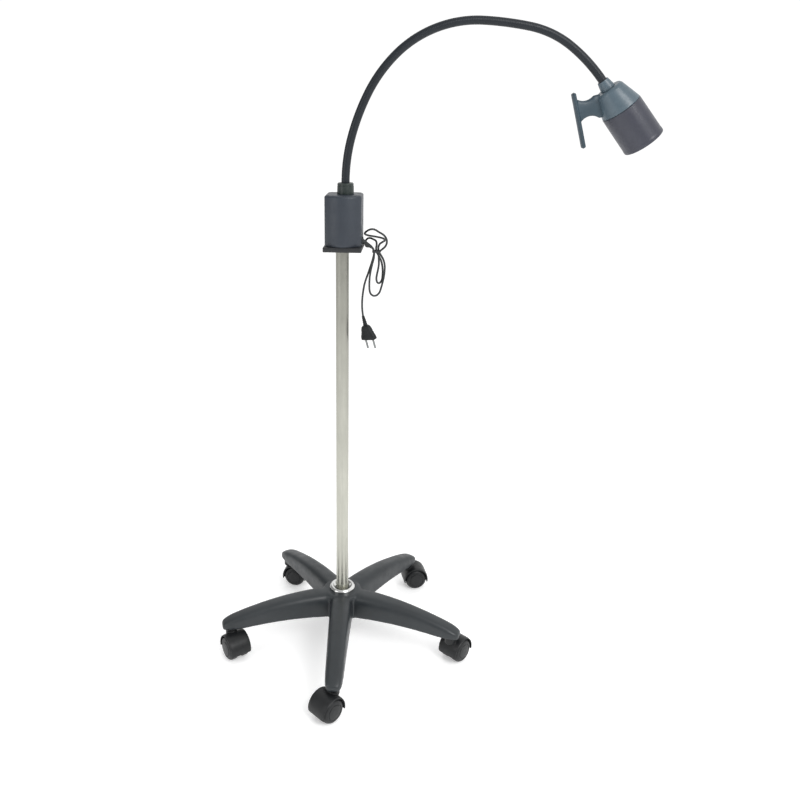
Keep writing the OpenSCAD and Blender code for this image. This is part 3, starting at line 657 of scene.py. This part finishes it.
def plate_outline(inset):
    """The base plate's plan, which stands out past the shell all round."""
    front = CASE_CORNER + CASE_BOW + 1 - inset
    w, back = CASE_W / 2 + PLATE_RIM - inset, CASE_BACK + PLATE_RIM - inset
    r = max(0.4, 2.5 - inset)
    return [tuple(p) for p in fillet([(-w, -front, r), (w, -front, r), (w, back, r), (-w, back, r)], 6)]


PLATE_RIM = 1.5
plate_levels = [(CASE_Z, 0.9), (CASE_Z + 0.3, 0.3), (CASE_Z + 1, 0), (SHELL_Z - 1.2, 0),
                (SHELL_Z - 0.4, 0.3), (SHELL_Z, 1)]
verts, faces = loft_parts(stacked(plate_levels, plate_outline))
plate = make("case_plate", verts, faces, "plate", 35)
plate.matrix_world = in_case
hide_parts("case_base_plate")
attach(plate, "stand")

COLLAR_TOP = Vector(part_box("neck_collar")[1]).z / MM
c = COLLAR_TOP - CASE_TOP
collar = lathe("neck_nut", [(8.1, 0, 0), (16.2, 0, 0.6), (15.9, c - 6, 0.8), (15.2, c - 5.6, 0.3),
                            (15.2, c - 5, 0.3), (15.7, c - 4.4, 0.6), (15.6, c - 1.6, 1.2),
                            (13.6, c, 0.8), (8.1, c, 0.4)],
               Matrix.Translation(mm(NECK_SHIFT, 0, CASE_TOP)), "collar")
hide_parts("neck_collar")
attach(collar, "stand")

# ---- gooseneck ----

NECK_R, NECK_STEP = 8, 86
NECK_BENDS = [15, 12, 19, 24, 23, 8, 26, 15]
RIB_PITCH, RIB_HEIGHT, RING_STEP = 3.0, 0.22, 0.75
BEND_SPREAD = 0.36


def neck_at(s):
    """Point and heading, in degrees above +X, at a distance along the gooseneck."""
    x, z, heading = NECK_SHIFT, COLLAR_TOP, 90.0
    for bend in NECK_BENDS:
        length = min(s, NECK_STEP)
        r = NECK_STEP / math.radians(bend)
        turn = math.degrees(length / r)
        chord = 2 * r * math.sin(math.radians(turn / 2))
        a = math.radians(heading - turn / 2)
        x, z, heading = x + chord * math.cos(a), z + chord * math.sin(a), heading - turn
        s -= length
        if s <= 1e-9:
            break
    return Vector((x, 0, z)), heading


def neck_frame(s):
    """A matrix on the gooseneck's line, with +Z along it."""
    p, heading = neck_at(s)
    a = math.radians(heading)
    return axes(p * MM, (math.sin(a), 0, -math.cos(a)), (math.cos(a), 0, math.sin(a)))


def neck_sleeve(name, start, end):
    """A length of the ribbed sheath between two distances along the gooseneck."""
    count = int(round((end - start) / RING_STEP))
    rings = []
    for k in range(count + 1):
        s = start + (end - start) * k / count
        m = neck_frame(s)
        if s < 0:
            m = Matrix.Translation(mm(NECK_SHIFT, 0, COLLAR_TOP + s))
        r = NECK_R - RIB_HEIGHT * (1 + math.cos(2 * math.pi * s / RIB_PITCH)) / 2
        rings.append([m @ mm(r * math.cos(a), r * math.sin(a), 0)
                      for a in np.linspace(0, 2 * math.pi, 33)[:-1]])
    verts, faces = loft_parts(rings)
    return make(name, verts, faces, "neck", 60)


for k in range(1, 8):
    joint_at = Vector(joints[f"neck_bend_{k}"]["pos_m"])
    assert (neck_at(k * NECK_STEP)[0] * MM - joint_at).length < 1e-4
first = neck_sleeve("neck_sleeve_root", -4, NECK_STEP / 2)
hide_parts("neck_1")
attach(first, "stand")
for k in range(1, 8):
    sleeve = neck_sleeve(f"neck_sleeve_{k}", (k - 0.5) * NECK_STEP, (k + 0.5) * NECK_STEP)
    if k < 7:
        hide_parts(f"neck_{k + 1}")
    neck_at((k - BEND_SPREAD) * NECK_STEP)[0] * MM
    neck_at((k + BEND_SPREAD) * NECK_STEP)[0] * MM
    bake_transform(sleeve)
last = neck_sleeve("neck_sleeve_tip", 7.5 * NECK_STEP, 8 * NECK_STEP + 3)
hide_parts("neck_8")
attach(last, "head")

# ---- head: +Z along the beam, +X towards the handle ----

CONE_Z, CONE_BACK_R, BARREL_BACK_R, BARREL_FRONT_R = 18, 26, 38.5, 40
BARREL_Z, RIM_Z, WALL = 62, 141, 2.5
in_head = neck_frame(8 * NECK_STEP)

head_collar = lathe("head_ferrule", [(8.6, 0, 0.3), (10.4, 0, 0.5), (13.3, 13.6, 1.2),
                                     (13.5, CONE_Z, 0.4), (8.6, CONE_Z, 0)],
                    in_head, "light")
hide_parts("head_collar")
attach(head_collar, "head")
cone = lathe("head_cone", [(6, CONE_Z, 0.5), (CONE_BACK_R - 2.4, CONE_Z, 4),
                           (CONE_BACK_R + 1, CONE_Z + 4.5, 6), (BARREL_BACK_R - 0.1, BARREL_Z - 1.2, 1),
                           (BARREL_BACK_R - 0.8, BARREL_Z - 0.2, 0.2),
                           (BARREL_BACK_R - WALL, BARREL_Z - 0.2, 0),
                           (CONE_BACK_R - 3.5, CONE_Z + WALL, 2), (6, CONE_Z + WALL, 0.3)],
             in_head, "light", 128)
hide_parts("rear_cone")
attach(cone, "head")
barrel = lathe("head_barrel", [(BARREL_BACK_R - WALL, BARREL_Z, 0.2), (BARREL_BACK_R - 0.5, BARREL_Z, 0.2),
                               (BARREL_BACK_R + 0.5, BARREL_Z + 1.2, 0.8),
                               (BARREL_FRONT_R - 0.4, RIM_Z - 9, 3), (BARREL_FRONT_R, RIM_Z - 6, 1),
                               (BARREL_FRONT_R, RIM_Z - 1, 0.9), (BARREL_FRONT_R - 1.2, RIM_Z, 0.6),
                               (BARREL_BACK_R - WALL + 0.1, RIM_Z, 0.6)],
               in_head, "dark", 128)
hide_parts("front_barrel")
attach(barrel, "head")

# The handle's web stands on the cone's side, this far along the cone
HANDLE_UP = 14.5
HANDLE_Z = CONE_Z + HANDLE_UP
HANDLE_R = CONE_BACK_R + HANDLE_UP * (BARREL_BACK_R - CONE_BACK_R) / (BARREL_Z - CONE_Z)
LEAN, WEB_LEN, WEB_DEPTH, WAIST, CUT_R = 23, 38, 14, 15, 24
WEB_LOW, WEB_HIGH = 23, 20
BAR_LEN, BAR_DEPTH, BAR_THICK, BAR_SHIFT = 106, 18, 8.5, -18
in_web = Matrix.Translation(mm(HANDLE_R, 0, HANDLE_Z)) @ Matrix.Rotation(math.radians(90 + LEAN), 4, "Y")


def handle_parts():
    """The waisted web and the bar across its end, with +Z away from the cone."""
    web = []
    for z in np.linspace(-5, WEB_LEN + 3, 26):
        off = min(CUT_R - 0.5, abs(z - WEB_LEN * 0.55))
        side = WAIST + CUT_R - math.sqrt(CUT_R ** 2 - off ** 2)
        x0, x1 = -min(WEB_LOW, side), min(WEB_HIGH, side)
        web.append([((x0 + x1) / 2 + x, y, z)
                    for x, y in superellipse((x1 - x0) / 2, WEB_DEPTH / 2, 3.2, 32)])
    bar = []
    middle, half = WEB_LEN + BAR_THICK / 2 - 1, BAR_LEN / 2
    for t in np.linspace(-1, 1, 41):
        x = BAR_SHIFT + half * t
        end = max(0.0, (abs(t) - 0.93) / 0.07)
        k = math.sqrt(max(0.0, 1 - end ** 2)) * 0.97 + 0.03
        flare = 1 + 0.04 * t ** 2
        bar.append([(x, BAR_DEPTH / 2 * k * flare * math.cos(a), middle + BAR_THICK / 2 * k * math.sin(a))
                    for a in np.linspace(0, 2 * math.pi, 29)[:-1]])
    return [in_mm(loft_parts(web)), in_mm(loft_parts(bar))]


handle = moulded("t_handle", [moved(p, in_web) for p in handle_parts()], 0.8, 8, "handle")
handle.matrix_world = in_head
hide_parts("handle")
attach(handle, "head")

# ---- gland, boot, tie and plug ----

GLAND_Z = SHELL_Z + 9
BOOT_LEN, BOOT_R, BOOT_TURN, BOOT_FALL = 24, 4.6, 14, 36
gland_at = in_case @ Matrix.Translation(mm(CASE_W / 2, -4, GLAND_Z))
fall = math.radians(90 + BOOT_FALL)
way = Matrix.Rotation(math.radians(BOOT_TURN), 3, "Z") @ Vector((math.sin(fall), 0, math.cos(fall)))
boot_outline = [(0, -1, 0), (BOOT_R, -1, 0)]
for k in range(7):
    z = 4 + k * 2.8
    r = BOOT_R - 1.5 * z / BOOT_LEN
    boot_outline += [(r, z, 0.3), (r - 0.7, z + 0.3, 0.2), (r - 0.7, z + 0.9, 0.2), (r - 0.1, z + 1.2, 0.3)]
boot_outline += [(3.0, BOOT_LEN, 0.5), (0, BOOT_LEN, 0)]
boot_verts, boot_faces = lathe_parts([p * MM for p in fillet(boot_outline, 2)], 40)
boot_matrix = axes(gland_at.translation, (0, 1, 0), way)
nut_outline = [(0, -6, 0), (5, -6, 0.3), (5, 0, 0), (7.5, 0, 0.6), (7.3, 2.6, 0.8), (0, 2.6, 0)]
nut_verts, nut_faces = lathe_parts([p * MM for p in fillet(nut_outline, 3)], 48)
nut_matrix = gland_at @ Matrix.Rotation(math.radians(90), 4, "Y")
verts, faces = joined([moved((boot_verts, boot_faces), boot_matrix),
                       moved((nut_verts, nut_faces), nut_matrix)])
boot = make("lead_boot", verts, faces, "cord")
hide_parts("cord_gland")
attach(boot, "stand")

tie_low, tie_high = (Vector(v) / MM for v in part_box("cord_tie"))
tie_c = (tie_low + tie_high) / 2


def band_rings(half_x, half_y, thick, z0, z1):
    """A closed strap round the strands: rings of its own section, laid round the band."""
    path = fillet([(-half_x, -half_y, 4), (half_x, -half_y, 4), (half_x, half_y, 4),
                   (-half_x, half_y, 4)], 6)
    section = ((0, z0), (thick, z0 + 0.2), (thick, z1 - 0.2), (0, z1))
    out = []
    for before, here, after in zip(path[-1:] + path[:-1], path, path[1:] + path[:1]):
        along = (after - before).normalized()
        normal = Vector((along.y, -along.x))
        out.append([(*(here + normal * u), z) for u, z in section])
    return out


rings = [[mm(*v) + tie_c * MM for v in ring] for ring in band_rings(6.9, 4.8, 1.1, -2.3, 2.3)]
verts, faces = loft_parts(rings, closed=True)
tie = make("lead_tie", verts, faces, "black")
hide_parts("cord_tie")
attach(tie, "stand")

PLUG_TILT, PLUG_SPIN, RELIEF = 15, 40, 20
in_plug = (Matrix.Translation(mm(*CORD_ROUTE[-1])) @ Matrix.Rotation(math.radians(180 - PLUG_TILT), 4, "Y")
           @ turned(PLUG_SPIN))


def plug_rings():
    """Ringed strain relief, shoulders, finger ridges and face: rows are (height, half sizes, power)."""
    rows = []
    for k in range(15):
        z = RELIEF * k / 15
        r = 3.0 + 1.6 * z / RELIEF - (0.5 if k % 3 == 2 else 0)
        rows.append((z, r, r, 2))
    rows += [(19.5, 5.2, 5.0, 2), (20.3, 7.2, 5.8, 2.2), (22, 9.4, 6.3, 2.6), (26, 11.2, 6.6, 3)]
    for k in range(5):
        dip = k % 2
        rows.append((30 + 2.4 * k, 12.4 + 0.9 * k - 0.7 * dip, 6.7 - 0.35 * dip, 3.4))
    rows += [(43, 17, 7, 3.8), (48.3, 17.5, 7, 4), (49.1, 17.1, 6.7, 4), (49.5, 16.2, 6, 4)]
    return [[mm(x, y, z) for x, y in superellipse(hx, hy, power, 56)] for z, hx, hy, power in rows]


verts, faces = loft_parts(plug_rings())
plug = make("mains_plug", verts, faces, "plug", 50)
plug.matrix_world = in_plug
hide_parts("plug_body")
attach(plug, "stand")

mains_lead.data.materials.append(M["cord"])
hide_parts("cord_lead", "cord_hank")
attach(mains_lead, "stand")

# ---- the CAD nodes that stay ----

for names, material in (
        (["pole"], "pole"), (["pole_plug", "pole_bolt", "case_screws", "handle_screws"], "zinc"),
        (["pole_socket"], "cast"), (["led_driver"], "potting"), (["terminal_block", "led_board"], "white"),
        (["switch_frame", "front_bezel"], "black"), (["switch_rocker"], "red"), (["heat_sink"], "sink"),
        (["led_chips"], "phosphor"), (["led_lenses", "front_glass"], "lens"), (["plug_pins"], "pin"),
        ([f"castor_pins_{i}" for i in range(1, ARMS + 1)], "chrome")):
    for name in names:
        for s in NODES[name].material_slots:
            s.material = M[material]

# ---- floor and light ----

bpy.ops.mesh.primitive_plane_add(size=24, location=(0, 0, 0))
floor = bpy.context.object
floor.name = "floor"
n = Nodes("pale_floor")
n.link(n.blend(n.spread(n.noise(3, 3), 0.3, 0.7, 0, 1), (0.90, 0.90, 0.90), (0.93, 0.93, 0.93)),
       n.shader.inputs["Base Color"])
n.shader.inputs["Roughness"].default_value = 0.9
n.shader.inputs["Emission Color"].default_value = (1, 1, 1, 1)
n.shader.inputs["Emission Strength"].default_value = 0.3
floor.data.materials.append(n.mat)

# The room is darker to the left and to the front, and plain white where the camera sees it
FULL_LIGHT = 1.05
world = bpy.data.worlds.new("studio")
bpy.context.scene.world = world
world.use_nodes = True
tree = world.node_tree
room = tree.nodes["Background"]
room.inputs["Color"].default_value = (1, 1, 1, 1)
direction = tree.nodes.new("ShaderNodeTexCoord")
split = tree.nodes.new("ShaderNodeSeparateXYZ")
tree.links.new(direction.outputs["Generated"], split.inputs[0])
level = tree.nodes.new("ShaderNodeMath")
level.operation = "MULTIPLY"
for i, (axis, dim_at, full_at, dim) in enumerate((("X", -0.9, -0.1, 0.3), ("Y", -1.0, 0.3, 0.6))):
    span = tree.nodes.new("ShaderNodeMapRange")
    span.interpolation_type = "SMOOTHSTEP"
    for key, value in zip(RANGE_KEYS, (dim_at, full_at, dim, FULL_LIGHT)):
        span.inputs[key].default_value = value
    tree.links.new(split.outputs[axis], span.inputs["Value"])
    tree.links.new(span.outputs["Result"], level.inputs[i])
tree.links.new(level.outputs[0], room.inputs["Strength"])
backdrop = tree.nodes.new("ShaderNodeBackground")
backdrop.inputs["Color"].default_value = (1, 1, 1, 1)
backdrop.inputs["Strength"].default_value = FULL_LIGHT
seen = tree.nodes.new("ShaderNodeLightPath")
choice = tree.nodes.new("ShaderNodeMixShader")
tree.links.new(seen.outputs["Is Camera Ray"], choice.inputs[0])
tree.links.new(room.outputs[0], choice.inputs[1])
tree.links.new(backdrop.outputs[0], choice.inputs[2])
tree.links.new(choice.outputs[0], tree.nodes["World Output"].inputs["Surface"])
bpy.context.scene.view_settings.view_transform = "Standard"


def softbox(name, location, target, size, power):
    light = bpy.data.lights.new(name, "AREA")
    light.shape = "RECTANGLE"
    light.size, light.size_y = size
    light.energy = power
    obj = bpy.data.objects.new(name, light)
    bpy.context.collection.objects.link(obj)
    obj.location = location
    obj.rotation_euler = (Vector(target) - Vector(location)).to_track_quat("-Z", "Y").to_euler()


softbox("key", (1.6, -2.2, 2.6), (0.1, 0, 0.8), (1.6, 1.6), 60)
softbox("fill", (-2.4, -1.6, 1.6), (0, 0, 0.6), (1.4, 2.0), 25)
